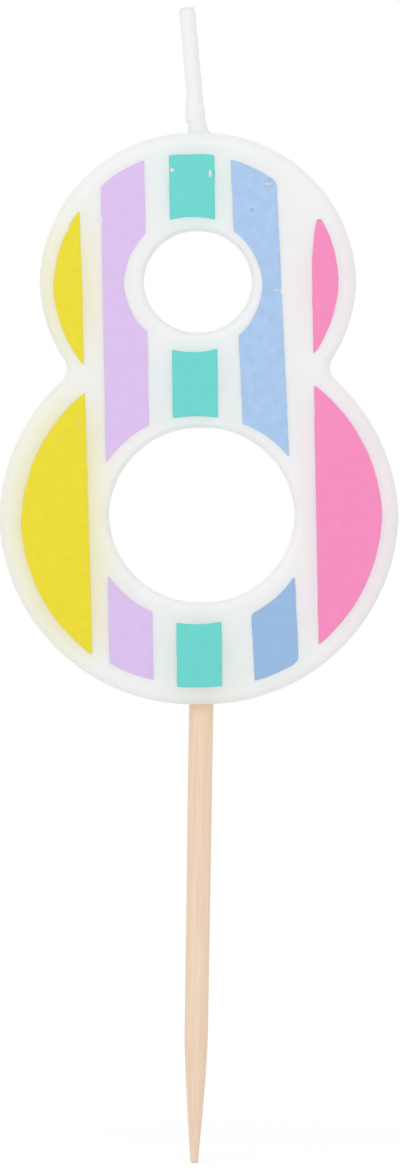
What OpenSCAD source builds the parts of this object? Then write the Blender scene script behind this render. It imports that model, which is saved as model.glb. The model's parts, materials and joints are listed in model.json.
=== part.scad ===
// Number eight candle for a birthday cake: a cast wax numeral with coloured
// stripe films pressed onto its front, a waxed cotton wick in its top and a
// pointed wooden pick in its underside. Sizes are in millimetres.
// The origin is on the pick's axis, just under the wax. +Z runs up along the
// pick, +X to the right and -Y out of the striped front.

/* [Number] */
// Height of the wax, underside to top
number_h = 70; // [66:1:76]
// Thickness of the wax, front to back
number_t = 8; // [6:0.5:12]
// Height of the lower bowl
lower_bowl_h = 45.9; // [43:0.1:50]
// Height of the upper bowl
upper_bowl_h = 36.4; // [33:0.1:40]
// Width of a bowl or a counter over its height
bowl_aspect = 1.066; // [1:0.001:1.12]
// Height of the lower counter, the hole in the lower bowl
lower_counter_h = 21.4; // [17:0.1:24]
// Height of the upper counter, the hole in the upper bowl
upper_counter_h = 12.5; // [9:0.1:15]
// How far the lower counter sits right of its bowl's centre
lower_counter_x = 0.35; // [-1:0.05:1]
// How far the lower counter sits above its bowl's centre
lower_counter_rise = 0.25; // [-1:0.05:1]
// Radius of the hollow where the two bowls meet at the waist
waist_r = 2; // [1:0.1:4]
// Rounding of the outer edge at the front
front_edge_r = 1.3; // [0.5:0.1:1.6]
// Rounding of the counters' edges at the front
counter_edge_r = 1; // [0.3:0.1:1.5]
// Rounding of all edges at the back
back_edge_r = 0.5; // [0.2:0.1:1.5]
// Lean of the number on its pick, top to the left, in degrees
number_lean = 1.1; // [0:0.1:3]
// How far the pick stands right of the number's centre line
pick_offset = 0.2; // [-1:0.1:1]

/* [Stripes] */
// Wax left bare between the print and the lower bowl's edge
lower_margin = 2.5; // [2:0.05:3.5]
// Wax left bare between the print and the upper bowl's edge
upper_margin = 2.25; // [2:0.05:3.5]
// Wax left bare between the print and a counter
counter_margin = 2; // [1.6:0.05:3]
// Thickness of a film
film_t = 0.1; // [0.05:0.05:0.4]
// Right edge of the yellow stripe, from the upper bowl's left side
yellow_edge_x = 5.85; // [5:0.05:6.6]
// Middle of the lilac stripe in the print
lilac_x = -8.7; // [-9.5:0.05:-8]
// Width of the lilac stripe
lilac_w = 5.35; // [4:0.05:6.5]
// Middle of the teal stripe in the print
teal_x = 0.1; // [-2:0.05:2]
// Width of the teal stripe
teal_w = 5.55; // [4:0.05:7]
// Middle of the blue stripe in the print
blue_x = 8.35; // [7.5:0.05:9.5]
// Width of the blue stripe
blue_w = 5.5; // [4:0.05:6.5]
// Left edge of the pink stripe, from the upper bowl's right side
pink_edge_x = 5.65; // [4.8:0.05:6.6]
// How far the yellow print sits right of the bowls
yellow_shift = -0.25; // [-0.7:0.05:0.7]
// How far the yellow print sits above the bowls
yellow_rise = -0.45; // [-0.7:0.05:0.7]
// Lean of the yellow print on the wax, top to the left, in degrees
yellow_lean = 1.4; // [0:0.05:3]
// How far the lilac print sits right of the bowls
lilac_shift = -0.05; // [-0.7:0.05:0.7]
// How far the lilac print sits above the bowls
lilac_rise = -0.1; // [-0.7:0.05:0.7]
// Lean of the lilac print on the wax
lilac_lean = 0.8; // [0:0.05:3]
// How far the teal print sits right of the bowls
teal_shift = -0.45; // [-0.7:0.05:0.7]
// How far the teal print sits above the bowls
teal_rise = -0.4; // [-0.7:0.05:0.7]
// Lean of the teal print on the wax
teal_lean = 0.65; // [0:0.05:3]
// How far the blue print sits right of the bowls
blue_shift = -0.2; // [-0.7:0.05:0.7]
// How far the blue print sits above the bowls
blue_rise = -0.5; // [-0.7:0.05:0.7]
// Lean of the blue print on the wax
blue_lean = 2.4; // [0:0.05:3]
// How far the pink print sits right of the bowls
pink_shift = 0.45; // [-0.7:0.05:0.7]
// How far the pink print sits above the bowls
pink_rise = 0; // [-0.7:0.05:0.7]
// Lean of the pink print on the wax
pink_lean = 0.8; // [0:0.05:3]

/* [Wick] */
// Diameter of the cotton cord
wick_d = 1.2; // [0.8:0.1:2]
// Thickness of the wax skin on the standing wick
wick_coat_t = 0.4; // [0.2:0.05:0.8]
// Length of the standing wick, from the wax to its tip
wick_l = 15.6; // [8:0.1:25]
// Bare cotton at the tip
wick_bare_l = 0.6; // [0.2:0.1:3]
// Lean of the standing wick on the number, to the left, in degrees
wick_lean = 4.8; // [-10:0.1:10]
// Height above the wax of the point that the wick bends about
wick_bend_rise = 0.5; // [0.4:0.05:0.8]
// Gap round the wick's foot in its dimple, and round the buried wick
wick_gap = 0.05; // [0.02:0.01:0.1]
// Wax left between the buried wick and the upper counter
wick_floor = 3; // [1:0.1:5]

/* [Pick] */
// Diameter of the pick
pick_d = 3; // [2:0.1:4]
// Length of the even shaft below the wax
pick_shaft_l = 40.8; // [20:0.1:80]
// Length of the point
pick_point_l = 15.4; // [6:0.1:25]
// Diameter of the blunt tip
pick_tip_d = 0.9; // [0.4:0.1:1.6]
// Diameter of the buried end, which tapers from the shaft
pick_end_d = 2.4; // [1.6:0.1:2.8]
// Gap round the buried end in its socket
pick_gap = 0.03; // [0.01:0.01:0.1]
// Shaft that shows between the start of the taper and the wax
pick_reveal = 0.05; // [0:0.01:0.5]
// Wax left between the pick's end and the lower counter
pick_floor = 2.8; // [1:0.1:5]

/* [Hidden] */
$fn = 96;

wax_colour = "#f1f3f2";
yellow_colour = "#ebdc3f";
lilac_colour = "#dec2f0";
teal_colour = "#74d9d1";
blue_colour = "#adc9ed";
pink_colour = "#f591c3";
cotton_colour = "#f3f3f0";
wood_colour = "#f0d4ba";

// How far a cutter runs past the face it opens
past = 1;
// How far the waist's hollows lap the bowls, so that their arcs cross
waist_lap = 0.02;
// A length that reaches past the whole number
beyond = 2 * number_h;

// Half heights and heights above the underside of the bowls and counters
lower_r = lower_bowl_h / 2;
upper_r = upper_bowl_h / 2;
lower_h = lower_r;
upper_h = number_h - upper_r;
bowl_step = upper_h - lower_h;
lower_counter_r = lower_counter_h / 2;
upper_counter_r = upper_counter_h / 2;

// An oval is four quarter arcs: how far each arc's middle lies past the oval's centre, and its radius
function arc_shift(half_h) = half_h * (bowl_aspect - 1) / 2;
function arc_r(half_h) = norm([half_h * (bowl_aspect + 1) / 2, arc_shift(half_h)]);

// Point to the right of two middles, a and b above it, at the distances ra and rb from them
function meet(a, ra, b, rb) =
    let (
        apart = norm(b - a),
        along = (ra ^ 2 - rb ^ 2 + apart ^ 2) / (2 * apart),
        aside = sqrt(ra ^ 2 - along ^ 2),
        up = (b - a) / apart
    )
    a + along * up + aside * [up[1], -up[0]];

// Where arcs of a lower and an upper oval, each widened by grow, cross at the right of the waist,
// from the lower bowl's centre
function crossing(lower, upper, grow) =
    meet(
        [arc_shift(lower), -arc_shift(lower)], arc_r(lower) + grow,
        [arc_shift(upper), bowl_step + arc_shift(upper)], arc_r(upper) + grow
    );

// Middles of the two bowls' right-hand arcs at the waist, and of the hollow that meets both
lower_middle = [arc_shift(lower_r), lower_h - arc_shift(lower_r)];
upper_middle = [arc_shift(upper_r), upper_h + arc_shift(upper_r)];
waist_middle = [0, lower_h] + crossing(lower_r, upper_r, waist_r - waist_lap);

// Half heights of the print's two ovals, and the height of their waist
lower_print_r = lower_r - lower_margin;
upper_print_r = upper_r - upper_margin;
print_waist_h = lower_h + crossing(lower_print_r, upper_print_r, 0)[1];

// Stripes as left and right edges; the outer two run off the number
side_x = upper_r * bowl_aspect;
yellow = [-beyond, yellow_edge_x - side_x];
lilac = [lilac_x - lilac_w / 2, lilac_x + lilac_w / 2];
teal = [teal_x - teal_w / 2, teal_x + teal_w / 2];
blue = [blue_x - blue_w / 2, blue_x + blue_w / 2];
pink = [side_x - pink_edge_x, beyond];

// Bands of height that part a stripe into its films
above_waist = [print_waist_h, beyond];
below_waist = [-beyond, print_waist_h];
above_lower = [lower_h, beyond];
below_lower = [-beyond, lower_h];
above_upper = [upper_h, beyond];
between = [lower_h, upper_h];

// Wick and pick
coat_r = wick_d / 2 + wick_coat_t;
wick_bend_h = number_h + wick_bend_rise;
wick_reach = wick_l - wick_bend_rise;
wick_end_h = upper_h + upper_counter_r + wick_floor;
pick_buried_l = lower_h + lower_counter_rise - lower_counter_r - pick_floor;
pick_tip_r = pick_tip_d / 2;

// Puts what is drawn on the number's own axes onto the pick
module on_pick() {
    translate([0, 0, pick_reveal])
        rotate([0, -number_lean, 0])
            translate([-pick_offset, 0, 0])
                children();
}

// Stands a drawing up: x stays, y becomes height and z runs from back to front
module stand_up() {
    translate([0, number_t / 2, 0])
        rotate([90, 0, 0])
            children();
}

// Oval from quarters of a round child, which takes its radius from $r
module oval(half_h) {
    for (flip_x = [0, 1], flip_y = [0, 1])
        mirror([flip_x, 0, 0])
            mirror([0, flip_y, 0])
                intersection() {
                    translate([arc_shift(half_h), -arc_shift(half_h), 0])
                        let ($r = arc_r(half_h))
                            children();
                    translate([0, 0, -past])
                        cube(beyond);
                }
}

// Corner that a rounding takes off: a square less its quarter circle
module corner(r) {
    difference() {
        square(r);
        circle(r);
    }
}

// Disc as thick as the number, rounded at both edges
module bowl(r) {
    rotate_extrude()
        difference() {
            square([r, number_t]);
            translate([r - front_edge_r, number_t - front_edge_r])
                corner(front_edge_r);
            translate([r - back_edge_r, back_edge_r])
                mirror([0, 1])
                    corner(back_edge_r);
        }
}

// Cutter for a round hole whose rims are rounded off
module flared_cut(r, rim_r) {
    rotate_extrude() {
        square([r, number_t]);
        translate([r + rim_r, number_t - rim_r])
            mirror([1, 0])
                corner(rim_r);
        translate([r + back_edge_r, back_edge_r])
            mirror([1, 0])
                mirror([0, 1])
                    corner(back_edge_r);
    }
}

// Wax that fills the waist between the bowls, hollowed at each side
module waist() {
    for (flip = [0, 1])
        mirror([flip, 0, 0])
            difference() {
                linear_extrude(number_t)
                    polygon([
                        [0, lower_middle[1]], lower_middle, waist_middle,
                        upper_middle, [0, upper_middle[1]]
                    ]);
                translate([waist_middle[0], waist_middle[1], 0])
                    flared_cut(waist_r, front_edge_r);
            }
}

// The wax eight, lying on its back
module eight() {
    difference() {
        union() {
            translate([0, lower_h, 0])
                oval(lower_r)
                    bowl($r);
            translate([0, upper_h, 0])
                oval(upper_r)
                    bowl($r);
            waist();
        }
        translate([lower_counter_x, lower_h + lower_counter_rise, 0])
            oval(lower_counter_r)
                flared_cut($r, counter_edge_r);
        translate([0, upper_h, 0])
            oval(upper_counter_r)
                flared_cut($r, counter_edge_r);
    }
}

// Sheet of film over the eight less its margins
module print_area() {
    difference() {
        union() {
            translate([0, lower_h, 0])
                oval(lower_print_r)
                    cylinder(h = film_t, r = $r);
            translate([0, upper_h, 0])
                oval(upper_print_r)
                    cylinder(h = film_t, r = $r);
        }
        translate([0, lower_h, 0])
            oval(lower_counter_r + counter_margin)
                cylinder(h = film_t, r = $r);
        translate([0, upper_h, 0])
            oval(upper_counter_r + counter_margin)
                cylinder(h = film_t, r = $r);
    }
}

// One film: a stripe of the print within a band of heights
module film(stripe, band) {
    intersection() {
        print_area();
        translate([stripe[0], band[0], -past])
            cube([stripe[1] - stripe[0], band[1] - band[0], 2 * past]);
    }
}

// Puts a film onto the front of the wax as its colour was printed there
module on_front(shift, rise, lean) {
    on_pick()
        stand_up()
            translate([shift, number_h / 2 + rise, number_t])
                rotate(lean)
                    translate([0, -number_h / 2, 0])
                        children();
}

// Puts what is drawn along +Z onto the standing wick, from its bend point
module on_wick() {
    on_pick()
        translate([0, 0, wick_bend_h])
            rotate([0, -wick_lean, 0])
                children();
}

// Round foot of the standing wick
module wick_foot(gap = 0) {
    on_wick()
        sphere(coat_r + gap);
}

// Bore or cord from the bottom of the foot to a height above the bend point
module wick_core(r, reach) {
    on_wick()
        translate([0, 0, -coat_r])
            cylinder(h = coat_r + reach, r = r);
}

// Buried wick, or the hole for it, from its end up into the foot's dimple
module buried_wick(r) {
    on_pick()
        translate([0, 0, wick_end_h])
            cylinder(h = wick_bend_h - wick_end_h, r = r);
}

module wax_number() {
    color(wax_colour)
        difference() {
            on_pick()
                stand_up()
                    eight();
            buried_wick(wick_d / 2 + wick_gap);
            wick_foot(wick_gap);
            pick_socket();
        }
}

// Blind hole for the pick's buried end, open below
module pick_socket() {
    cylinder(h = pick_buried_l, d1 = pick_d + 2 * pick_gap, d2 = pick_end_d + 2 * pick_gap);
    translate([0, 0, -past])
        cylinder(h = past, d = pick_d + 2 * pick_gap);
}

module yellow_upper_film() {
    color(yellow_colour)
        on_front(yellow_shift, yellow_rise, yellow_lean)
            film(yellow, above_waist);
}

module yellow_lower_film() {
    color(yellow_colour)
        on_front(yellow_shift, yellow_rise, yellow_lean)
            film(yellow, below_waist);
}

module lilac_upper_film() {
    color(lilac_colour)
        on_front(lilac_shift, lilac_rise, lilac_lean)
            film(lilac, above_lower);
}

module lilac_lower_film() {
    color(lilac_colour)
        on_front(lilac_shift, lilac_rise, lilac_lean)
            film(lilac, below_lower);
}

module teal_top_film() {
    color(teal_colour)
        on_front(teal_shift, teal_rise, teal_lean)
            film(teal, above_upper);
}

module teal_middle_film() {
    color(teal_colour)
        on_front(teal_shift, teal_rise, teal_lean)
            film(teal, between);
}

module teal_bottom_film() {
    color(teal_colour)
        on_front(teal_shift, teal_rise, teal_lean)
            film(teal, below_lower);
}

module blue_upper_film() {
    color(blue_colour)
        on_front(blue_shift, blue_rise, blue_lean)
            film(blue, above_lower);
}

module blue_lower_film() {
    color(blue_colour)
        on_front(blue_shift, blue_rise, blue_lean)
            film(blue, below_lower);
}

module pink_upper_film() {
    color(pink_colour)
        on_front(pink_shift, pink_rise, pink_lean)
            film(pink, above_waist);
}

module pink_lower_film() {
    color(pink_colour)
        on_front(pink_shift, pink_rise, pink_lean)
            film(pink, below_waist);
}

module wick_root() {
    color(cotton_colour)
        difference() {
            buried_wick(wick_d / 2);
            wick_foot(wick_gap);
        }
}

module wick_cord() {
    color(cotton_colour)
        intersection() {
            wick_core(wick_d / 2, wick_reach);
            union() {
                wick_foot();
                on_wick()
                    cylinder(h = wick_l, r = coat_r);
            }
        }
}

module wick_coat() {
    color(wax_colour)
        difference() {
            union() {
                wick_foot();
                on_wick()
                    cylinder(h = wick_reach - wick_bare_l, r = coat_r);
            }
            wick_core(wick_d / 2, wick_l);
        }
}

module wooden_pick() {
    color(wood_colour)
        union() {
            cylinder(h = pick_buried_l, d1 = pick_d, d2 = pick_end_d);
            translate([0, 0, -pick_shaft_l])
                cylinder(h = pick_shaft_l, d = pick_d);
            translate([0, 0, pick_tip_r - pick_shaft_l - pick_point_l]) {
                cylinder(h = pick_point_l - pick_tip_r, d1 = pick_tip_d, d2 = pick_d);
                sphere(pick_tip_r);
            }
        }
}

wax_number();
yellow_upper_film();
yellow_lower_film();
lilac_upper_film();
lilac_lower_film();
teal_top_film();
teal_middle_film();
teal_bottom_film();
blue_upper_film();
blue_lower_film();
pink_upper_film();
pink_lower_film();
wick_root();
wick_cord();
wick_coat();
wooden_pick();
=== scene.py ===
"""Dresses the number eight candle: wax casting, stripe films, wick, pick and a plain stage."""

import json
import math

import bmesh
import bpy
import numpy
from bpy.props import FloatProperty, FloatVectorProperty, IntProperty, PointerProperty
from mathutils import Matrix, Vector, noise
from mathutils.bvhtree import BVHTree


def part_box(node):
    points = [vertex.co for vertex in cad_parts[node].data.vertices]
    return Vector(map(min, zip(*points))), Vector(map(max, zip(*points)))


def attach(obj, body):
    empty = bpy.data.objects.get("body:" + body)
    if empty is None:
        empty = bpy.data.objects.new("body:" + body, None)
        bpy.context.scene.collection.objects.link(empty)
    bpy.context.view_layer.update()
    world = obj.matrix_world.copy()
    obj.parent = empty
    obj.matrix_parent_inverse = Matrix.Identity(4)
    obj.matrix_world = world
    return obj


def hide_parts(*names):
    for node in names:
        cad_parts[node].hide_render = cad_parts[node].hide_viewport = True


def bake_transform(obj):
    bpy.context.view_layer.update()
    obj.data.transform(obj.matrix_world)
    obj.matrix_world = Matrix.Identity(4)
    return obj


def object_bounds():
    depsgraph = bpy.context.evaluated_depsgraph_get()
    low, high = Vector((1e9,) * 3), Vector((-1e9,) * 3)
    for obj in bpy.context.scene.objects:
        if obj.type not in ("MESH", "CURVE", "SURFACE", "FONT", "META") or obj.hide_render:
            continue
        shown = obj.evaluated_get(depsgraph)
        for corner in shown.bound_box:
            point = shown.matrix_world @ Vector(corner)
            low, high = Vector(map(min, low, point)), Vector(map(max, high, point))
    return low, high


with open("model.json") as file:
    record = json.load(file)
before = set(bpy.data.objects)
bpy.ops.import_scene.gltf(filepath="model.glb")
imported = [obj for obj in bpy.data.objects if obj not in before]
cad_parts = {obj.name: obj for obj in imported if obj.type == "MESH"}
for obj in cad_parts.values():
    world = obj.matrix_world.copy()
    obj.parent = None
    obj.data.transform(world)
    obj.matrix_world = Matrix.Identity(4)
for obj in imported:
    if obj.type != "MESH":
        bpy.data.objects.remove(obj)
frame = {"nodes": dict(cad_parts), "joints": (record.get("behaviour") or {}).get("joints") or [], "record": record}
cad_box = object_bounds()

bl_info = {
    "name": "Number Candle",
    "version": (1, 0, 0),
    "blender": (4, 5, 0),
    "location": "View3D > Sidebar > Candle",
    "description": "Models the wax, films, wick and pick of a number eight candle",
    "category": "Add Mesh",
}

MM = 0.001
MERGE_DISTANCE = 1e-6
# How squarely a face looks to the front, as a cosine: any front face, and the casting's flat
FACING_FRONT = 0.9
FLAT_FRONT = 0.995
# A colour Mix node's inputs and its output, whose names its other kinds share
MIX_FACTOR, MIX_A, MIX_B = 0, 6, 7
MIXED = 2

# Painted scatter light: how strongly each stripe's colour, and the pick's, is painted into the wax round it,
# standing in for light carried through the translucent wax
PAINTED_SCATTER_SHARE = {"yellow": 0.9, "lilac": 0.2, "teal": 0.48, "blue": 0.17, "pink": 0.42, "pick": 3}
# Size of the cells in which the faces of films and pick are summed up for that
PAINTED_SCATTER_CELL = 1 * MM
# Radius round a pinhole over which the painted scatter light is left off, so the wax under the film stays white
CLEAR_R = 1 * MM

# How far a film's density strays, and how far it does in the scuffed upper blue film
EVEN_MOTTLE = 0.03
SCUFFED_MOTTLE = {"blue": 0.07}

# The films' flaws, each by its place across and up, in millimetres

# Pinholes and slits, with half width and half height
FLAWS = {
    "teal_top_film": [(-4.57, 65.39, 0.26, 0.26), (0.12, 65.05, 0.2, 0.5)],
    "yellow_lower_film": [(-15.48, 34.38, 0.15, 0.15)],
    "blue_upper_film": [(8.5, 50.84, 0.4, 0.12), (7.25, 63.89, 0.52, 0.12)],
}
# Nicks in the edges, with how far across the edge is pushed
NICKS = {
    "yellow_upper_film": [(-17.43, 57.85, 0.2)],
    "lilac_upper_film": [(-13.17, 59.14, 0.16)],
    "blue_upper_film": [(9.05, 50.84, -0.25), (8.05, 63.9, -0.15)],
}
# Tears that took a tip off, with the way each faces
TEARS = {
    "pink_upper_film": [
        (13.5, 59.64, (0, 0, 1)),
        (13.09, 58.68, (-0.985, 0, 0.173)),
        (12.85, 56.47, (-0.997, 0, 0.072)),
    ],
}
# Corners that are rounder than the others, with their radius
ROUNDED = {"blue_lower_film": [(11.83, 5.51, 1.2), (5.97, 11.23, 0.6)]}
# Darker specks
SPECKS = {"blue_upper_film": [(5.25, 60.58), (7.44, 64.41)]}
# How far a nick's push reaches, and how close a rounder corner lies to its place
NICK_R = 0.3 * MM
CORNER_NEAR = 1 * MM
# How far round a hole the film is pushed aside, in half sizes of the hole
HOLE_PUSH = 1.6

# Where the key lamp stands from the picture's middle, and its width, in metres
KEY_PLACE = Vector((-0.06, -0.4, 0.22))
KEY_W = 0.35


def linear(hex_colour):
    """Linear RGB of an sRGB colour such as #ebdc3f."""
    channels = [int(hex_colour[i:i + 2], 16) / 255 for i in (1, 3, 5)]
    return tuple(c / 12.92 if c <= 0.04045 else ((c + 0.055) / 1.055) ** 2.4 for c in channels)


def colour_prop(name, description, hex_colour):
    """Colour picker whose default is an sRGB hex colour."""
    return FloatVectorProperty(
        name=name, description=description, subtype="COLOR", size=3, min=0, max=1,
        default=linear(hex_colour),
    )


def length_prop(name, description, millimetres):
    """Length field whose default is given in millimetres."""
    return FloatProperty(
        name=name, description=description, subtype="DISTANCE", unit="LENGTH",
        precision=6, default=millimetres * MM,
    )


class WaxSettings(bpy.types.PropertyGroup):
    """Sizes and colours of the wax casting."""

    skin: length_prop("Skin", "Spacing of the casting's even mesh", 0.32)
    pour_depth: length_prop("Pour depth", "Depth of the soft waves that cooling leaves", 0.07)
    pour_spacing: length_prop("Pour spacing", "Distance between those waves", 9)
    back_depth: length_prop("Back depth", "Depth of the hollows in the open-poured back", 0.22)
    # Painted scatter light: how far the film colour painted into the wax reaches
    painted_scatter_reach: length_prop("Dye reach", "How far a film's colour spreads into the wax", 3.2)
    colour: colour_prop("Wax", "Colour of the bare wax", "#f3f4f3")
    cloud: colour_prop("Cloud", "Colour of the cloudier patches in the wax", "#eff0ef")


class FilmSettings(bpy.types.PropertyGroup):
    """Sizes and colours of the stripe films."""

    lattice: length_prop("Lattice", "Spacing of a film's mesh", 0.3)
    corner_r: length_prop("Corner", "Rounding of a film's corners", 0.15)
    proud: length_prop("Proud", "How far a film stands out of the wax", 0.03)
    bed: length_prop("Bed", "How deep a film is pressed into the wax", 0.06)
    rim_w: length_prop("Rim", "Width of the soft rim where a film thins out", 0.06)
    waver: length_prop("Waver", "How far a film's edges stray from a true line", 0.05)
    waver_spacing: length_prop("Waver spacing", "Distance between those strays", 2.2)
    yellow: colour_prop("Yellow", "Colour of the yellow films", "#ebdb1a")
    lilac: colour_prop("Lilac", "Colour of the lilac films", "#dbbfee")
    teal: colour_prop("Teal", "Colour of the teal films", "#66d5cd")
    blue: colour_prop("Blue", "Colour of the upper blue film", "#a8c7ec")
    deep_blue: colour_prop("Deep blue", "Colour of the denser lower blue film", "#96b9e0")
    pink: colour_prop("Pink", "Colour of the pink films", "#f78abf")


class WickSettings(bpy.types.PropertyGroup):
    """Sizes and colours of the wick."""

    radius: length_prop("Radius", "Radius of the waxed wick", 0.92)
    yarn_r: length_prop("Yarn radius", "Radius of one yarn of the cord", 0.153)
    lay: length_prop("Lay", "Length over which a yarn winds once round the cord", 9)
    rib: length_prop("Rib", "How far the yarns show through the wax skin", 0.025)
    swell: length_prop("Swell", "How much thicker the wax skin is on its right side", 0.1)
    lump: length_prop("Lump", "How far the drip near the foot stands out", 0.54)
    lump_low: length_prop("Lump start", "Height of the drip's underside above the bend", 0.8)
    lump_high: length_prop("Lump end", "Height at which the drip runs out", 4.2)
    flare: length_prop("Flare", "How far the foot spreads where it meets the wax", 0.6)
    yarns: IntProperty(
        name="Yarns", description="Yarns of the cord's outer ring", min=6, max=12, default=9,
    )
    colour: colour_prop("Waxed cotton", "Colour of the wick's wax skin", "#f4f4f3")
    cotton: colour_prop("Cotton", "Colour of the bare yarn", "#f5f5f4")


class PickSettings(bpy.types.PropertyGroup):
    """Sizes and colours of the wooden pick."""

    taper: length_prop("Taper", "How much the shaft's radius shrinks towards its point", 0.06)
    belly: length_prop("Belly", "How far the point's sides swell out of a straight cone", 0.12)
    groove: length_prop("Groove", "Depth of the grain's grooves", 0.03)
    pale: colour_prop("Pale wood", "Colour of the early wood", "#f4dbc1")
    dark: colour_prop("Dark wood", "Colour of the grain lines", "#eed1b6")
    fleck: colour_prop("Fleck", "Colour of the short flecks", "#e2c1a2")
    # Warm tone of wax-soaked wood, painted lighter than the bare wood as painted fill light against the wax's
    # shadow on the pick
    soaked_and_lit: colour_prop("Soaked wood", "Colour of the wood that has drawn in wax", "#fadfc2")


class StageSettings(bpy.types.PropertyGroup):
    """Camera, light and floor."""

    lens: FloatProperty(
        name="Lens", description="Focal length of the camera", unit="CAMERA", default=450,
    )
    view_x: length_prop("View X", "Middle of the picture, from the pick's axis", -0.376)
    view_z: length_prop("View Z", "Picture's middle above the wax's underside", 14.66)
    view_h: length_prop("View height", "Height that the picture takes in", 143.17)
    roll: FloatProperty(
        name="Roll", description="Turn of the camera about its line of sight",
        subtype="ANGLE", default=math.radians(0.87),
    )
    floor_r: length_prop("Floor", "Radius of the floor", 400)
    floor_colour: colour_prop("Floor", "Colour of the floor", "#f6f6f6")
    sky: FloatProperty(
        name="Sky", description="Strength of the soft light from the front", min=0, default=0.6,
    )
    sweep: FloatProperty(
        name="Sweep", description="Strength of the soft light from the white sweep behind",
        min=0, default=1.04,
    )
    key: FloatProperty(
        name="Key light", description="Power of the lamp above the camera", unit="POWER",
        default=0.58,
    )


def add_node(tree, kind, inputs=None, **settings):
    """Adds a node, sets its properties and sets or links its inputs by name or number."""
    node = tree.nodes.new(kind)
    for name, value in settings.items():
        setattr(node, name, value)
    for name, value in (inputs or {}).items():
        if isinstance(value, bpy.types.NodeSocket):
            tree.links.new(value, node.inputs[name])
        else:
            node.inputs[name].default_value = value
    return node


def opaque(colour):
    """A colour with full alpha, as colour sockets take it."""
    return (*colour, 1)


def shade(colour, factor):
    """A colour made darker or lighter."""
    return tuple(min(1, c * factor) for c in colour)


def new_material(name):
    """An empty node material and its tree."""
    material = bpy.data.materials.new(name)
    material.use_nodes = True
    material.node_tree.nodes.clear()
    return material, material.node_tree


def sight_ray(tree):
    """A socket that is 1 for camera, glossy and transmission rays, which show the background."""
    seen = add_node(tree, "ShaderNodeLightPath").outputs
    direct = add_node(
        tree, "ShaderNodeMath", {0: seen["Is Camera Ray"], 1: seen["Is Glossy Ray"]},
        operation="MAXIMUM",
    )
    through = add_node(
        tree, "ShaderNodeMath", {0: direct.outputs[0], 1: seen["Is Transmission Ray"]},
        operation="MAXIMUM",
    )
    return through.outputs[0]


# Cast paraffin: cloudy white that light sinks into, satin, with each film's colour painted beside it as light
# scattered through the wax
def paraffin_wax(wax):
    """Material of the casting, whose dye attribute holds the colour at each point, with film and pick colours
    painted in as scattered light.
    """
    cloud_size = 6 * MM
    grain_size = 0.5 * MM
    grain_depth = 0.006 * MM
    scatter = 1 * MM
    clouded = shade(wax.cloud, 1 / wax.colour[1])
    material, tree = new_material("Cast paraffin wax")
    place = add_node(tree, "ShaderNodeTexCoord").outputs["Object"]
    # Painted light: film and pick colours painted into the wax as light scattered through it
    dye = add_node(tree, "ShaderNodeAttribute", attribute_name="dye")
    clouds = add_node(
        tree, "ShaderNodeTexNoise",
        {"Vector": place, "Scale": 1 / cloud_size, "Detail": 4, "Roughness": 0.6},
    )
    patches = add_node(
        tree, "ShaderNodeMapRange",
        {"Value": clouds.outputs["Fac"], "From Min": 0.42, "From Max": 0.75, "To Max": 0.5},
        interpolation_type="SMOOTHSTEP",
    )
    cloudy = add_node(
        tree, "ShaderNodeMix",
        {
            MIX_FACTOR: patches.outputs["Result"],
            MIX_A: dye.outputs["Color"],
            MIX_B: opaque(clouded),
        },
        data_type="RGBA", blend_type="MULTIPLY",
    )
    peel = add_node(
        tree, "ShaderNodeTexNoise", {"Vector": place, "Scale": 1 / grain_size, "Detail": 2},
    )
    relief = add_node(
        tree, "ShaderNodeBump",
        {"Height": peel.outputs["Fac"], "Distance": grain_depth, "Strength": 1},
    )
    gloss = add_node(
        tree, "ShaderNodeMapRange",
        {"Value": clouds.outputs["Fac"], "To Min": 0.34, "To Max": 0.5},
    )
    shader = add_node(
        tree, "ShaderNodeBsdfPrincipled",
        {
            "Base Color": cloudy.outputs[MIXED],
            "Roughness": gloss.outputs["Result"],
            "IOR": 1.44,
            "Subsurface Weight": 0.45,
            "Subsurface Radius": (1, 0.95, 0.9),
            "Subsurface Scale": scatter,
            "Normal": relief.outputs["Normal"],
        },
    )
    add_node(tree, "ShaderNodeOutputMaterial", {"Surface": shader.outputs["BSDF"]})
    return material


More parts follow.
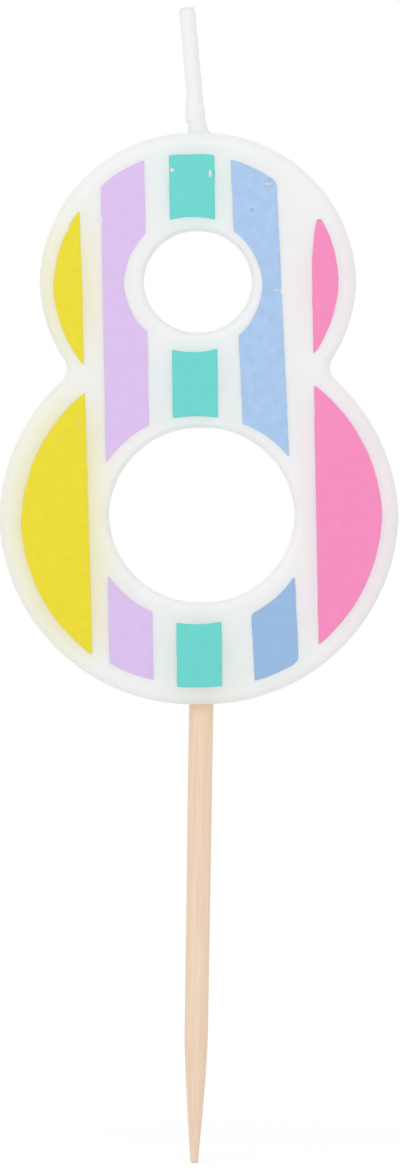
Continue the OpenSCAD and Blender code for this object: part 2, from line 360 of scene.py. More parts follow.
# Pigmented film pressed onto wax: even satin colour, faintly mottled where it bedded unevenly
def stripe_film(name, colour, mottle):
    """Material of one stripe; its clot attribute marks its darker specks."""
    bed_size = 1.4 * MM
    peel_size = 0.4 * MM
    peel_depth = 0.005 * MM
    dark_speck_shade = 0.6
    material, tree = new_material(name)
    place = add_node(tree, "ShaderNodeTexCoord").outputs["Object"]
    bed = add_node(
        tree, "ShaderNodeTexNoise",
        {"Vector": place, "Scale": 1 / bed_size, "Detail": 5, "Roughness": 0.65},
    )
    density = add_node(
        tree, "ShaderNodeMapRange",
        {"Value": bed.outputs["Fac"], "From Min": 0.3, "From Max": 0.7},
    )
    tone = add_node(
        tree, "ShaderNodeMix",
        {
            MIX_FACTOR: density.outputs["Result"],
            MIX_A: opaque(shade(colour, 1 - mottle)),
            MIX_B: opaque(shade(colour, 1 + mottle)),
        },
        data_type="RGBA",
    )
    clot = add_node(tree, "ShaderNodeAttribute", attribute_name="clot")
    ink = add_node(
        tree, "ShaderNodeMix",
        {
            MIX_FACTOR: clot.outputs["Fac"],
            MIX_A: tone.outputs[MIXED],
            MIX_B: opaque(shade(colour, dark_speck_shade)),
        },
        data_type="RGBA",
    )
    peel = add_node(
        tree, "ShaderNodeTexNoise", {"Vector": place, "Scale": 1 / peel_size, "Detail": 3},
    )
    relief = add_node(
        tree, "ShaderNodeBump",
        {"Height": peel.outputs["Fac"], "Distance": peel_depth, "Strength": 1},
    )
    gloss = add_node(
        tree, "ShaderNodeMapRange",
        {"Value": bed.outputs["Fac"], "To Min": 0.36, "To Max": 0.54},
    )
    shader = add_node(
        tree, "ShaderNodeBsdfPrincipled",
        {
            "Base Color": ink.outputs[MIXED],
            "Roughness": gloss.outputs["Result"],
            "IOR": 1.46,
            "Normal": relief.outputs["Normal"],
        },
    )
    add_node(tree, "ShaderNodeOutputMaterial", {"Surface": shader.outputs["BSDF"]})
    return material


# Cotton cord dipped in wax: off-white, with the yarns' shadow just showing through a thin skin
def waxed_cotton(wick):
    """Material of the wick's skin; its upright attribute keeps the fibres along a bent wick."""
    # A cotton fibre is about 0.02 mm thick, and is drawn coarser so that it shows
    fibre_size = 0.12 * MM
    fibre_depth = 0.02 * MM
    fibre_shade = 0.95
    scatter = 0.8 * MM
    # The fibres' scale along the wick, as a share of that across it
    fibre_run = 0.08
    material, tree = new_material("Waxed cotton")
    upright = add_node(tree, "ShaderNodeAttribute", attribute_name="upright").outputs["Vector"]
    along = add_node(tree, "ShaderNodeMapping", {"Vector": upright, "Scale": (1, 1, fibre_run)})
    fibres = add_node(
        tree, "ShaderNodeTexNoise",
        {"Vector": along.outputs["Vector"], "Scale": 1 / fibre_size, "Detail": 3},
    )
    tone = add_node(
        tree, "ShaderNodeMix",
        {
            MIX_FACTOR: fibres.outputs["Fac"],
            MIX_A: opaque(shade(wick.colour, fibre_shade)),
            MIX_B: opaque(wick.colour),
        },
        data_type="RGBA",
    )
    relief = add_node(
        tree, "ShaderNodeBump",
        {"Height": fibres.outputs["Fac"], "Distance": fibre_depth, "Strength": 0.6},
    )
    shader = add_node(
        tree, "ShaderNodeBsdfPrincipled",
        {
            "Base Color": tone.outputs[MIXED],
            "Roughness": 0.5,
            "IOR": 1.44,
            "Subsurface Weight": 0.5,
            "Subsurface Radius": (1, 1, 1),
            "Subsurface Scale": scatter,
            "Normal": relief.outputs["Normal"],
        },
    )
    add_node(tree, "ShaderNodeOutputMaterial", {"Surface": shader.outputs["BSDF"]})
    return material


# Bare spun cotton: soft and matt, with fine fibres on each yarn
def bare_cotton(wick):
    """Material of the cord's yarns."""
    # Drawn coarser than a cotton fibre so that it shows
    fibre_size = 0.08 * MM
    fibre_depth = 0.03 * MM
    fibre_shade = 0.95
    material, tree = new_material("Spun cotton")
    place = add_node(tree, "ShaderNodeTexCoord").outputs["Object"]
    fibres = add_node(
        tree, "ShaderNodeTexNoise", {"Vector": place, "Scale": 1 / fibre_size, "Detail": 2},
    )
    tone = add_node(
        tree, "ShaderNodeMix",
        {
            MIX_FACTOR: fibres.outputs["Fac"],
            MIX_A: opaque(shade(wick.cotton, fibre_shade)),
            MIX_B: opaque(wick.cotton),
        },
        data_type="RGBA",
    )
    relief = add_node(
        tree, "ShaderNodeBump",
        {"Height": fibres.outputs["Fac"], "Distance": fibre_depth, "Strength": 0.7},
    )
    shader = add_node(
        tree, "ShaderNodeBsdfPrincipled",
        {
            "Base Color": tone.outputs[MIXED],
            "Roughness": 0.85,
            "Sheen Weight": 0.3,
            "Normal": relief.outputs["Normal"],
        },
    )
    add_node(tree, "ShaderNodeOutputMaterial", {"Surface": shader.outputs["BSDF"]})
    return material


# Bare birch: pale straight grain with short flecks, and warmer where it has drawn in wax, where it is also painted
# lighter as painted fill light against the wax's shadow
def birch(pick, soak_z):
    """Material of the pick; soak_z is the height above which the wood is soaked with wax; the wood just below it
    is painted warmer and lighter, partly soak and partly painted fill light.
    """
    grain_w = 0.4 * MM
    # A pore of birch is about 0.1 mm wide, and is drawn a little coarser so that it shows
    fleck_w = 0.16 * MM
    soak_l = 2.5 * MM
    grain_depth = 0.015 * MM
    # The grain's and the flecks' scale along the pick, as a share of that across it
    grain_run = 0.035
    fleck_run = 0.16
    material, tree = new_material("Birch")
    place = add_node(tree, "ShaderNodeTexCoord").outputs["Object"]
    along = add_node(tree, "ShaderNodeMapping", {"Vector": place, "Scale": (1, 1, grain_run)})
    grain = add_node(
        tree, "ShaderNodeTexNoise",
        {"Vector": along.outputs["Vector"], "Scale": 1 / grain_w, "Detail": 4, "Roughness": 0.55},
    )
    lines = add_node(
        tree, "ShaderNodeMapRange",
        {"Value": grain.outputs["Fac"], "From Min": 0.35, "From Max": 0.68},
        interpolation_type="SMOOTHSTEP",
    )
    wood = add_node(
        tree, "ShaderNodeMix",
        {MIX_FACTOR: lines.outputs["Result"], MIX_A: opaque(pick.pale), MIX_B: opaque(pick.dark)},
        data_type="RGBA",
    )
    short = add_node(tree, "ShaderNodeMapping", {"Vector": place, "Scale": (1, 1, fleck_run)})
    specks = add_node(
        tree, "ShaderNodeTexNoise",
        {"Vector": short.outputs["Vector"], "Scale": 1 / fleck_w, "Detail": 1},
    )
    flecks = add_node(
        tree, "ShaderNodeMapRange",
        {"Value": specks.outputs["Fac"], "From Min": 0.69, "From Max": 0.78, "To Max": 0.55},
        interpolation_type="SMOOTHSTEP",
    )
    flecked = add_node(
        tree, "ShaderNodeMix",
        {
            MIX_FACTOR: flecks.outputs["Result"],
            MIX_A: wood.outputs[MIXED],
            MIX_B: opaque(pick.fleck),
        },
        data_type="RGBA",
    )
    height = add_node(tree, "ShaderNodeSeparateXYZ", {"Vector": place}).outputs["Z"]
    # Painted light: below the wax the wood turns to the soak colour, partly its wax soak and partly painted fill
    # light against the wax's shadow
    soak_and_lift = add_node(
        tree, "ShaderNodeMapRange",
        {"Value": height, "From Min": soak_z - soak_l, "From Max": soak_z, "To Max": 0.8},
        interpolation_type="SMOOTHSTEP",
    )
    soaked_and_lit = add_node(
        tree, "ShaderNodeMix",
        {
            MIX_FACTOR: soak_and_lift.outputs["Result"],
            MIX_A: flecked.outputs[MIXED],
            MIX_B: opaque(pick.soaked_and_lit),
        },
        data_type="RGBA",
    )
    relief = add_node(
        tree, "ShaderNodeBump",
        {"Height": grain.outputs["Fac"], "Distance": grain_depth, "Strength": 0.8}, invert=True,
    )
    gloss = add_node(
        tree, "ShaderNodeMapRange",
        {"Value": grain.outputs["Fac"], "To Min": 0.55, "To Max": 0.75},
    )
    shader = add_node(
        tree, "ShaderNodeBsdfPrincipled",
        {
            "Base Color": soaked_and_lit.outputs[MIXED],
            "Roughness": gloss.outputs["Result"],
            "IOR": 1.5,
            "Normal": relief.outputs["Normal"],
        },
    )
    add_node(tree, "ShaderNodeOutputMaterial", {"Surface": shader.outputs["BSDF"]})
    return material


def merged_copy(node):
    """A CAD node's mesh as a bmesh with its loose triangles joined."""
    shape = bmesh.new()
    shape.from_mesh(frame["nodes"][node].data)
    bmesh.ops.remove_doubles(shape, verts=shape.verts, dist=MERGE_DISTANCE)
    return shape


def new_object(name, shape):
    """Makes an object of a bmesh and links it into the scene."""
    mesh = bpy.data.meshes.new(name)
    shape.to_mesh(mesh)
    shape.free()
    piece = bpy.data.objects.new(name, mesh)
    bpy.context.scene.collection.objects.link(piece)
    return piece


def smoothed(piece, material, sharp_angle=40):
    """Gives a piece its material and smooth shading, but for edges past an angle in degrees."""
    piece.data.materials.append(material)
    piece.data.shade_smooth()
    piece.data.set_sharp_from_angle(angle=math.radians(sharp_angle))
    return piece


def smoothstep(t):
    """Eases from 0 to 1 while t runs from 0 to 1."""
    t = max(0, min(1, t))
    return t * t * (3 - 2 * t)


def pour_wave(point, spacing):
    """Soft unevenness of a cast face at a point, about 0 to 1."""
    falloff, step, octaves = 1, 2, 2
    here = Vector((point.x, 0, point.z)) / spacing
    return 0.5 + 0.5 * noise.fractal(here, falloff, step, octaves)


def front_dip(point, wax):
    """How far the front face lies behind its true plane at a point."""
    return wax.pour_depth * max(0, min(1, pour_wave(point, wax.pour_spacing)))


def film_nodes():
    """Names of the CAD nodes of the stripe films."""
    return sorted(name for name in frame["nodes"] if name.endswith("_film"))


def ink_name(node):
    """Name of the colour setting that a film is printed in."""
    return "deep_blue" if node == "blue_lower_film" else node.split("_")[0]


def print_name(node):
    """Name of the piece that dresses a film's node."""
    return node.replace("_film", "_print")


class CANDLE_OT_films(bpy.types.Operator):
    """Lays the stripe films on the wax, with soft rims, straying edges and the print's flaws"""

    bl_idname = "candle.films"
    bl_label = "Stripe Films"

    def execute(self, context):
        films = context.scene.candle_films
        wax = context.scene.candle_wax
        materials = {}
        for node in film_nodes():
            ink = ink_name(node)
            if ink not in materials:
                name = ink.replace("_", " ").capitalize() + " transfer film"
                mottle = SCUFFED_MOTTLE.get(ink, EVEN_MOTTLE)
                materials[ink] = stripe_film(name, getattr(films, ink), mottle)
            piece = new_object(print_name(node), self.sheet(node, films, wax))
            smoothed(piece, materials[ink])
            if node in SPECKS:
                self.specks(piece.data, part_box(node)[0].y, SPECKS[node])
            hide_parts(node)
            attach(piece, "number")
        return {"FINISHED"}

    def sheet(self, node, films, wax):
        """One film: its outline rimmed, latticed, flawed, bedded on the wax and closed."""
        low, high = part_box(node)
        shape = self.outline(node, films)
        middle = shape.faces[:]
        bmesh.ops.inset_region(
            shape, faces=middle, thickness=films.rim_w, use_boundary=True, use_even_offset=True,
        )
        for v in shape.verts:
            v.co.y = high.y - (0 if v.is_boundary else films.proud)
        self.lattice(shape, middle, low, high, films.lattice)
        for x, z, half_w, half_h in FLAWS.get(node, []):
            self.pierce(shape, x * MM, z * MM, half_w * MM, half_h * MM)
        for v in shape.verts:
            self.stray(v, NICKS.get(node, []), films)
            v.co.y += front_dip(v.co, wax)
        back = bmesh.ops.extrude_face_region(shape, geom=shape.faces[:])["geom"]
        for v in (g for g in back if isinstance(g, bmesh.types.BMVert)):
            v.co.y = high.y + films.bed + front_dip(v.co, wax)
        bmesh.ops.recalc_face_normals(shape, faces=shape.faces)
        return shape

    def outline(self, node, films):
        """The front of a film's solid as one face: torn, with rounded corners and short edges."""
        corner_turn = math.radians(20)
        shape = merged_copy(node)
        sides = [f for f in shape.faces if f.normal.y > -FACING_FRONT]
        bmesh.ops.delete(shape, geom=sides, context="FACES")
        for x, z, facing in TEARS.get(node, []):
            bmesh.ops.bisect_plane(
                shape, geom=[*shape.verts, *shape.edges, *shape.faces],
                plane_co=(x * MM, 0, z * MM), plane_no=facing, clear_outer=True,
            )
        bmesh.ops.dissolve_faces(shape, faces=shape.faces[:])
        for v in [v for v in shape.verts if v.calc_edge_angle(0) > corner_turn]:
            radius = films.corner_r
            for x, z, worn_r in ROUNDED.get(node, []):
                if math.hypot(v.co.x - x * MM, v.co.z - z * MM) < CORNER_NEAR:
                    radius = worn_r * MM
            bmesh.ops.bevel(
                shape, geom=[v], offset=radius * math.tan(v.calc_edge_angle() / 2),
                offset_type="OFFSET", segments=4, profile=0.5, affect="VERTICES", material=-1,
                clamp_overlap=True,
            )
        bmesh.ops.remove_doubles(shape, verts=shape.verts, dist=MERGE_DISTANCE)
        for e in [e for e in shape.edges if e.calc_length() > films.lattice]:
            bmesh.ops.subdivide_edges(shape, edges=[e], cuts=int(e.calc_length() / films.lattice))
        return shape

    def lattice(self, shape, faces, low, high, spacing):
        """Cuts flat faces into a lattice."""
        across, up = Vector((1, 0, 0)), Vector((0, 0, 1))
        for axis, start, end in ((across, low.x, high.x), (up, low.z, high.z)):
            for i in range(1, math.ceil((end - start) / spacing)):
                geom = dict.fromkeys(g for f in faces for g in (*f.verts, *f.edges, f))
                cut = bmesh.ops.bisect_plane(
                    shape, geom=list(geom), dist=MERGE_DISTANCE,
                    plane_co=axis * (start + i * spacing), plane_no=axis,
                )
                faces = [g for g in cut["geom"] if isinstance(g, bmesh.types.BMFace)]

    def pierce(self, shape, x, z, half_w, half_h):
        """Opens a small oval hole: an inner point is cut out and the film round it pushed aside."""
        rim_cuts = 2
        rim_w = 0.02 * MM
        place = Vector((x, z))
        inner = [v for v in shape.verts if not any(e.is_boundary for e in v.link_edges)]
        v = min(inner, key=lambda v: (v.co.xz - place).length)
        v.co.x, v.co.z = x, z
        hole = bmesh.ops.dissolve_faces(shape, faces=v.link_faces[:], use_verts=True)["region"]
        if len(hole) != 1:
            raise RuntimeError("A pinhole couldn't be opened")
        bmesh.ops.bisect_edges(shape, edges=hole[0].edges[:], cuts=rim_cuts)
        bmesh.ops.inset_individual(shape, faces=hole, thickness=rim_w, use_even_offset=True)
        rim = set(hole[0].verts)
        reach = HOLE_PUSH * max(half_w, half_h)
        for v in shape.verts:
            away = (v.co.xz - place).length
            if v in rim or away < reach:
                side = (v.co.xz - place) / away
                oval = Vector((half_w * side.x, half_h * side.y))
                pushed = oval.lerp(side * reach, 0 if v in rim else away / reach)
                v.co.x, v.co.z = place + pushed
        bmesh.ops.delete(shape, geom=hole, context="FACES")

    def specks(self, mesh, front, places):
        """Marks the points of the film's front nearest to some places as darker specks."""
        clot = mesh.attributes.new("clot", "FLOAT", "POINT")
        for x, z in places:
            place = Vector((x * MM, front, z * MM))
            nearest = min(mesh.vertices, key=lambda v: (v.co - place).length)
            clot.data[nearest.index].value = 1

    def stray(self, v, nicks, films):
        """Moves a point of a film by its edges' waver and by the nicks near it."""
        elsewhere = Vector((7, 3, 5))
        here = v.co / films.waver_spacing
        v.co.x += films.waver * noise.noise(here)
        v.co.z += films.waver * noise.noise(here + elsewhere)
        for x, z, push in nicks:
            away = math.hypot(v.co.x - x * MM, v.co.z - z * MM) / NICK_R
            v.co.x += push * MM * math.exp(-(away ** 2))


class CANDLE_OT_pick(bpy.types.Operator):
    """Turns the wooden pick: a slim taper, a swelling point, a blunt tip and open grain"""

    bl_idname = "candle.pick"
    bl_label = "Wooden Pick"

    def execute(self, context):
        pick = context.scene.candle_pick
        tip_r = 0.47 * MM
        sides = 56
        long_edge, rings = 5 * MM, 60
        shape = bmesh.new()
        chain = [shape.verts.new((r, 0, z)) for r, z in self.profile(pick, tip_r)]
        edges = [shape.edges.new(pair) for pair in zip(chain, chain[1:])]
        long_edges = [e for e in edges if e.calc_length() > long_edge]
        bmesh.ops.subdivide_edges(shape, edges=long_edges, cuts=rings)
        bmesh.ops.spin(
            shape, geom=shape.verts[:] + shape.edges[:], cent=(0, 0, 0), axis=(0, 0, 1),
            angle=2 * math.pi, steps=sides, use_merge=True,
        )
        bmesh.ops.remove_doubles(shape, verts=shape.verts, dist=MERGE_DISTANCE)
        bmesh.ops.recalc_face_normals(shape, faces=shape.faces)
        self.open_grain(shape, pick, tip_r / 2)
        piece = new_object("birch_pick", shape)
        smoothed(piece, birch(pick, 0))
        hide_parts("wooden_pick")
        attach(piece, "pick")
        return {"FINISHED"}

    def profile(self, pick, tip_r):
        """Radius and height of the pick's outline, from its buried end down to its tip."""
        low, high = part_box("wooden_pick")
        mount = next(m for m in frame["record"]["mounts"] if m["name"] == "pick")
        radius = mount["dims"]["r_mm"] * MM
        shoulder = -mount["dims"]["length_mm"] * MM
        end_r, chamfer = 1.2 * MM, 0.15 * MM
        tip_edge = 0.2 * MM
        point_steps, tip_steps = 12, 5
        # How much of the belly is gone by the tip
        belly_fade = 0.4
        thin_r = radius - pick.taper
        outline = [
            (0, high.z), (end_r - chamfer, high.z), (end_r, high.z - chamfer),
            (radius, 0), (thin_r, shoulder),
        ]
        point_l = shoulder - low.z - tip_edge
        for i in range(1, point_steps + 1):
            t = i / point_steps
            swell = pick.belly * math.sin(math.pi * t) * (1 - belly_fade * t)
            outline.append((thin_r + (tip_r - thin_r) * t + swell, shoulder - point_l * t))
        for i in range(1, tip_steps + 1):
            turn = math.pi / 2 * i / tip_steps
            inwards, down = math.cos(turn) - 1, 1 - math.sin(turn)
            outline.append((tip_r + tip_edge * inwards, low.z + tip_edge * down))
        outline.append((0, low.z))
        return outline

    def open_grain(self, shape, pick, solid_r):
        """Sinks the grain's grooves into the wood outside a radius."""
        groove_w, groove_l = 0.5 * MM, 14 * MM
        for v in shape.verts:
            across = Vector((v.co.x, v.co.y)).length
            if across > solid_r:
                place = Vector((v.co.x / groove_w, v.co.y / groove_w, v.co.z / groove_l))
                keep = 1 - pick.groove * max(0, noise.noise(place)) / across
                v.co.x *= keep
                v.co.y *= keep


class CANDLE_OT_wax(bpy.types.Operator):
    """Casts the wax number from its solid: an even skin, softened edges and the marks of pouring"""

    bl_idname = "candle.wax"
    bl_label = "Wax Number"

    def execute(self, context):
        wax = context.scene.candle_wax
        solid = merged_copy("wax_number")
        surface = BVHTree.FromBMesh(solid)
        piece = new_object("wax_casting", solid)
        shape = self.even_skin(context, piece, surface, wax.skin)
        self.pour(shape, wax)
        shape.to_mesh(piece.data)
        shape.free()
        # Paints the films' and the pick's colours into the wax as scattered light
        self.dye(piece.data, wax, context.scene.candle_films, context.scene.candle_pick)
        smoothed(piece, paraffin_wax(wax))
        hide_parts("wax_number")
        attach(piece, "number")
        return {"FINISHED"}

    def even_skin(self, context, piece, surface, spacing):
        """The casting as an even mesh that is drawn onto the solid's surface and eased."""
        rounds, ease = 2, 0.5
        skin = piece.modifiers.new("Even skin", "REMESH")
        skin.mode = "VOXEL"
        skin.voxel_size = spacing
        shape = bmesh.new()
        shape.from_object(piece, context.evaluated_depsgraph_get())
        if not shape.faces:
            raise RuntimeError("The wax number's skin came out empty")
        piece.modifiers.clear()
        for _ in range(rounds):
            for v in shape.verts:
                v.co = surface.find_nearest(v.co)[0]
            bmesh.ops.smooth_vert(
                shape, verts=shape.verts, factor=ease,
                use_axis_x=True, use_axis_y=True, use_axis_z=True,
            )
        shape.normal_update()
        return shape

    def pour(self, shape, wax):
        """Trues the flat front, then leaves soft waves in it and hollows in the back."""
        low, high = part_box("wax_number")
        elsewhere = Vector((0, 0, high.z))
        for v in shape.verts:
            # Only what faces the front or the back squarely is marked, so the rims stay round
            squarely = v.normal.y ** 4
            if v.normal.y < -FLAT_FRONT and v.co.y < low.y + wax.skin:
                v.co.y = low.y
            if v.normal.y < 0:
                v.co.y += front_dip(v.co, wax) * squarely
            else:
                hollow = wax.back_depth * pour_wave(v.co + elsewhere, wax.pour_spacing)
                v.co.y -= max(0, hollow) * squarely
            v.co.y = min(max(v.co.y, low.y), high.y)

    def dye(self, mesh, wax, films, pick):
        """Paints light into each point of the wax: the colour of the films and wood near it, as if scattered
        through the translucent wax.
        """
        bare = numpy.array(wax.colour)
        sources = [
            (print_name(node), getattr(films, ink_name(node)), node.split("_")[0])
            for node in film_nodes()
        ]
        # The pick's wood is painted into the wax above it as light showing through
        sources.append(("birch_pick", pick.dark, "pick"))
        spots, tints = [], []
        for name, colour, kind in sources:
            tint = PAINTED_SCATTER_SHARE[kind] * (numpy.array(colour) - bare)
            for area, middle in self.patches(bpy.data.objects[name].data):
                spots.append(middle)
                tints.append(area * tint)
        spots = numpy.array(spots)
        tints = numpy.array(tints) / (math.pi * wax.painted_scatter_reach ** 2)
        # Behind this depth the painted scatter light has died away
        deepest = spots[:, 1].min() + 2 * wax.painted_scatter_reach
        holes = numpy.array([(x, z) for flaws in FLAWS.values() for x, z, _, _ in flaws]) * MM
        # Painted scatter light, stored point by point
        dye = mesh.attributes.new("dye", "FLOAT_COLOR", "POINT")
        for i, v in enumerate(mesh.vertices):
            colour = bare
            if v.co.y < deepest:
                nearness = numpy.exp(-((spots - v.co) ** 2).sum(axis=1) / wax.painted_scatter_reach ** 2)
                off_hole = numpy.sqrt(((holes - v.co.xz) ** 2).sum(axis=1)).min() / CLEAR_R
                colour = numpy.clip(bare + smoothstep(off_hole) * (nearness @ tints), 0, 1)
            dye.data[i].color = opaque(colour)

    def patches(self, mesh):
        """Area and middle of the front faces above the wax's underside, cell by cell."""
        cells = {}
        for face in mesh.polygons:
            if face.normal.y < -FACING_FRONT and face.center.z > 0:
                cell = round(face.center.x / PAINTED_SCATTER_CELL), round(face.center.z / PAINTED_SCATTER_CELL)
                cells.setdefault(cell, []).append(face)
        for faces in cells.values():
            area = sum(face.area for face in faces)
            yield area, sum((face.area * face.center for face in faces), Vector()) / area


class CANDLE_OT_wick(bpy.types.Operator):
    """Models the wick: wound cotton yarns in a wax skin with a drip and a flared foot"""

    bl_idname = "candle.wick"
    bl_label = "Wick"

    def execute(self, context):
        wick = context.scene.candle_wick
        # How far the skin runs on past its solid, and the bend's reach below and above the foot
        lap = 0.3 * MM
        bend = next(j for j in frame["joints"] if j["name"] == "wick_bend")
        self.foot = Vector(bend["pos_m"])
        coat_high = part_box("wick_coat")[1]
        cord_low, cord_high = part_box("wick_cord")
        lean = math.atan2(
            (cord_low.x + cord_high.x) / 2 - self.foot.x,
            (cord_low.z + cord_high.z) / 2 - self.foot.z,
        )
        self.turn = Matrix.Rotation(lean, 4, "Y")
        tilt = wick.radius * abs(math.sin(lean))
        skin_l = (coat_high.z - self.foot.z - tilt) / math.cos(lean)
        cord_l = (cord_high.z - self.foot.z - tilt) / math.cos(lean)
        root_l = self.foot.z - cord_low.z
        skin = new_object("wick_skin", self.skin(wick, skin_l + lap, root_l))
        smoothed(skin, waxed_cotton(wick), sharp_angle=60)
        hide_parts("wick_coat")
        yarns = new_object("wick_yarns", self.yarns(wick, cord_l, root_l))
        smoothed(yarns, bare_cotton(wick), sharp_angle=60)
        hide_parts("wick_cord")
        for piece in (skin, yarns):
            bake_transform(piece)
        root = frame["nodes"]["wick_root"]
        root.data.materials.clear()
        root.data.materials.append(yarns.data.materials[0])
        return {"FINISHED"}

    def tube(self, shape, length, root_l, radius, sides, ring_gap):
        """A closed upright tube from below the bend point to a height above it, cut into rings."""
        whole = length + root_l
        others = len(shape.verts)
        made = bmesh.ops.create_cone(
            shape, cap_ends=True, cap_tris=False, segments=sides,
            radius1=radius, radius2=radius, depth=whole,
            matrix=Matrix.Translation((0, 0, whole / 2 - root_l)),
        )["verts"]
        edges = dict.fromkeys(e for v in made for e in v.link_edges)
        upright = [e for e in edges if abs(e.verts[0].co.z - e.verts[1].co.z) > whole / 2]
        cuts = round(whole / ring_gap)
        bmesh.ops.subdivide_edges(shape, edges=upright, cuts=cuts, use_grid_fill=True)
        return shape.verts[:][others:]

    def stand(self, shape):
        """Leans an upright wick at its foot; its points keep their upright places."""
        upright = shape.verts.layers.float_vector.new("upright")
        for v in shape.verts:
            v[upright] = v.co
            v.co = self.foot + self.turn @ v.co
        bmesh.ops.recalc_face_normals(shape, faces=shape.faces)
        return shape

    def skin(self, wick, length, root_l):
        """The wax skin, uneven along its length, with a drip, a flared foot and a shoulder."""
        wave, wave_l = 0.05 * MM, 1.3 * MM
        ribs = 6
        # Height of the drip's blunt underside, and how it narrows round the wick
        drip_edge, drip_slim = 0.45 * MM, 1.5
        # The wax's top face below the bend point, and the flare's fall, steep and then long
        face_h = -0.5 * MM
        flare_l, skirt = 0.3 * MM, 4
        # How much the top end draws in, and over what length
        shoulder, shoulder_l = 0.15, 0.4 * MM
        shape = bmesh.new()
        self.tube(shape, length, root_l, wick.radius, sides=40, ring_gap=0.12 * MM)
        for v in shape.verts:
            side = math.atan2(v.co.y, v.co.x)
            right, back = math.cos(side), math.sin(side)
            up = v.co.z
            reach = Vector((v.co.x, v.co.y)).length / wick.radius
            r = wick.radius
            r += wave * noise.noise(Vector((right, back, up / wave_l)))
            r += wick.rib * abs(math.sin(ribs / 2 * (side - 2 * math.pi * up / wick.lay)))
            r += wick.swell * (1 + right) / 2
            run = max(0, wick.lump_high - up) / (wick.lump_high - wick.lump_low)
            drip = run * smoothstep((up - wick.lump_low) / drip_edge)
            r += wick.lump * max(0, -right) ** drip_slim * drip
            foot = max(0, up - face_h) / flare_l
            r += wick.flare * (math.exp(-foot) + math.exp(-foot / skirt)) / 2
            r *= 1 - shoulder * smoothstep((up - length) / shoulder_l + 1)
            v.co.x = right * r * reach
            v.co.y = back * r * reach
        return self.stand(shape)

    def yarns(self, wick, length, root_l):
        """The cord's yarns in an inner and an outer ring, wound together, with loose ends."""
        # The loose ends: their length and steps, how they thicken and fine off, and how they splay
        fray_l = 0.9 * MM
        uneven = 0.06 * MM
        fluff, fined = 0.25, 0.35
        splay, splay_pace = 0.65, 1.6
        shape = bmesh.new()
        for count, short in ((wick.yarns // 3, 0), (wick.yarns, uneven)):
            away = wick.yarn_r / math.sin(math.pi / count)
            for i in range(count):
                end = length - short - uneven * (i % 3)
                start = 2 * math.pi * i / count
                yarn = self.tube(shape, end, root_l, wick.yarn_r, sides=10, ring_gap=0.3 * MM)
                for v in yarn:
                    up = v.co.z
                    turn = start + 2 * math.pi * up / wick.lay
                    loose = max(0, (up - end + fray_l) / fray_l)
                    thick = 1 + fluff * loose - fined * loose ** 4
                    spread = away * (1 + splay * min(1, splay_pace * loose))
                    v.co.x = v.co.x * thick + math.cos(turn) * spread
                    v.co.y = v.co.y * thick + math.sin(turn) * spread
        return self.stand(shape)


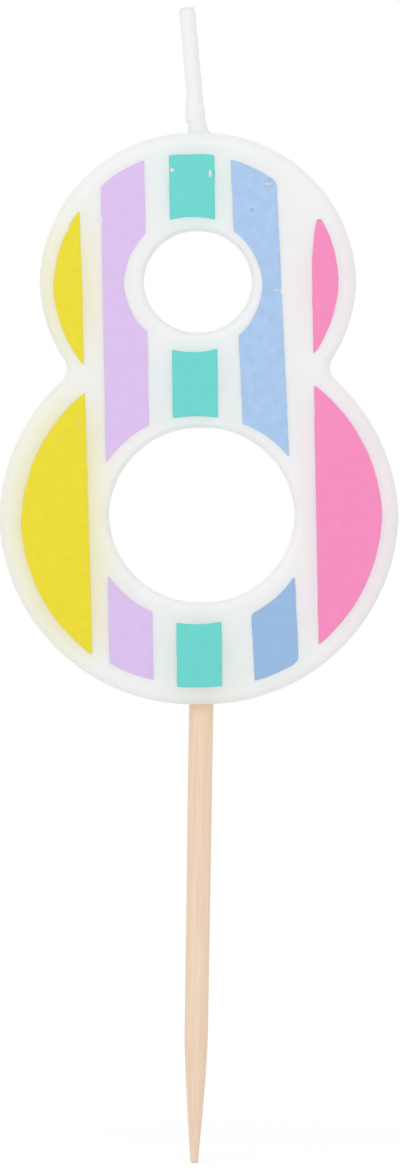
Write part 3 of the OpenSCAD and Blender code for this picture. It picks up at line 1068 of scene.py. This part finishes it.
class CANDLE_OT_stage(bpy.types.Operator):
    """Sets the pale floor, the soft studio light and the camera"""

    bl_idname = "candle.stage"
    bl_label = "Stage"

    def execute(self, context):
        stage = context.scene.candle_stage
        context.scene.view_settings.view_transform = "Standard"
        self.floor(stage)
        self.world(context.scene, stage)
        middle = Vector((stage.view_x, cad_box[0].y, stage.view_z))
        self.lamp("Key", stage.key, middle, KEY_PLACE, KEY_W)
        lens = bpy.data.cameras.new("Camera")
        lens.lens = stage.lens
        away = stage.view_h * stage.lens / lens.sensor_width
        camera = bpy.data.objects.new("Camera", lens)
        camera.matrix_world = (
            Matrix.Translation(middle - Vector((0, away, 0)))
            @ Matrix.Rotation(-stage.roll, 4, "Y")
            @ Matrix.Rotation(math.pi / 2, 4, "X")
        )
        context.scene.collection.objects.link(camera)
        context.scene.camera = camera
        return {"FINISHED"}

    def lamp(self, name, power, target, aside, width):
        """A large soft lamp that faces the candle."""
        light = bpy.data.lights.new(name, "AREA")
        light.shape = "DISK"
        light.size = width
        light.energy = power
        lamp = bpy.data.objects.new(name, light)
        lamp.location = target + aside
        lamp.rotation_euler = (-aside).to_track_quat("-Z", "Y").to_euler()
        bpy.context.scene.collection.objects.link(lamp)

    def floor(self, stage):
        """A round floor under the pick's point, shown a little whiter away from the candle."""
        # Two distances from the candle in metres, and how much whiter the floor is shown there
        near, far = 0.05, 0.2
        near_lift, far_lift = 0.15, 0.225
        shape = bmesh.new()
        bmesh.ops.create_circle(
            shape, cap_ends=True, segments=96, radius=stage.floor_r,
            matrix=Matrix.Translation((0, 0, cad_box[0].z)),
        )
        floor = new_object("floor", shape)
        # Matt paper: plain, with no gloss and no grain that shows from here
        material, tree = new_material("Pale paper")
        paper = add_node(tree, "ShaderNodeBsdfDiffuse", {"Color": opaque(stage.floor_colour)})
        place = add_node(tree, "ShaderNodeTexCoord").outputs["Object"]
        away = add_node(tree, "ShaderNodeVectorMath", {0: place}, operation="LENGTH")
        lift = add_node(
            tree, "ShaderNodeMapRange",
            {
                "Value": away.outputs["Value"],
                "From Min": near, "From Max": far, "To Min": near_lift, "To Max": far_lift,
            },
        )
        shown = add_node(
            tree, "ShaderNodeMath", {0: sight_ray(tree), 1: lift.outputs["Result"]},
            operation="MULTIPLY",
        )
        glow = add_node(
            tree, "ShaderNodeEmission", {"Color": (1, 1, 1, 1), "Strength": shown.outputs[0]},
        )
        both = add_node(tree, "ShaderNodeAddShader", {0: paper.outputs[0], 1: glow.outputs[0]})
        add_node(tree, "ShaderNodeOutputMaterial", {"Surface": both.outputs[0]})
        floor.data.materials.append(material)

    def world(self, scene, stage):
        """White to the camera; to everything else a soft light, stronger from behind."""
        world = bpy.data.worlds.new("Studio")
        world.use_nodes = True
        tree = world.node_tree
        tree.nodes.clear()
        aim = add_node(tree, "ShaderNodeTexCoord").outputs["Generated"]
        depth = add_node(tree, "ShaderNodeSeparateXYZ", {"Vector": aim}).outputs["Y"]
        around = add_node(
            tree, "ShaderNodeMapRange",
            {
                "Value": depth,
                "From Min": -1, "From Max": 1, "To Min": stage.sky, "To Max": stage.sweep,
            },
        )
        strength = add_node(
            tree, "ShaderNodeMapRange",
            {"Value": sight_ray(tree), "To Min": around.outputs["Result"], "To Max": 1},
        )
        light = add_node(
            tree, "ShaderNodeBackground",
            {"Color": (1, 1, 1, 1), "Strength": strength.outputs["Result"]},
        )
        add_node(tree, "ShaderNodeOutputWorld", {"Surface": light.outputs[0]})
        scene.world = world


class CANDLE_PT_pieces(bpy.types.Panel):
    """Lists the candle's pieces"""

    bl_idname = "CANDLE_PT_pieces"
    bl_label = "Number Candle"
    bl_space_type = "VIEW_3D"
    bl_region_type = "UI"
    bl_category = "Candle"

    def draw(self, context):
        for operator in OPERATORS:
            self.layout.operator(operator.bl_idname)


SETTINGS = {
    "candle_wax": WaxSettings,
    "candle_films": FilmSettings,
    "candle_wick": WickSettings,
    "candle_pick": PickSettings,
    "candle_stage": StageSettings,
}
OPERATORS = (CANDLE_OT_stage, CANDLE_OT_films, CANDLE_OT_pick, CANDLE_OT_wax, CANDLE_OT_wick)


def register():
    for group in (*SETTINGS.values(), *OPERATORS, CANDLE_PT_pieces):
        bpy.utils.register_class(group)
    for name, group in SETTINGS.items():
        setattr(bpy.types.Scene, name, PointerProperty(type=group))


def unregister():
    for name in SETTINGS:
        delattr(bpy.types.Scene, name)
    for group in (CANDLE_PT_pieces, *reversed(OPERATORS), *reversed(SETTINGS.values())):
        bpy.utils.unregister_class(group)


def main():
    register()
    bpy.ops.candle.stage()
    bpy.ops.candle.films()
    bpy.ops.candle.pick()
    bpy.ops.candle.wax()
    bpy.ops.candle.wick()


if __name__ == "__main__":
    main()
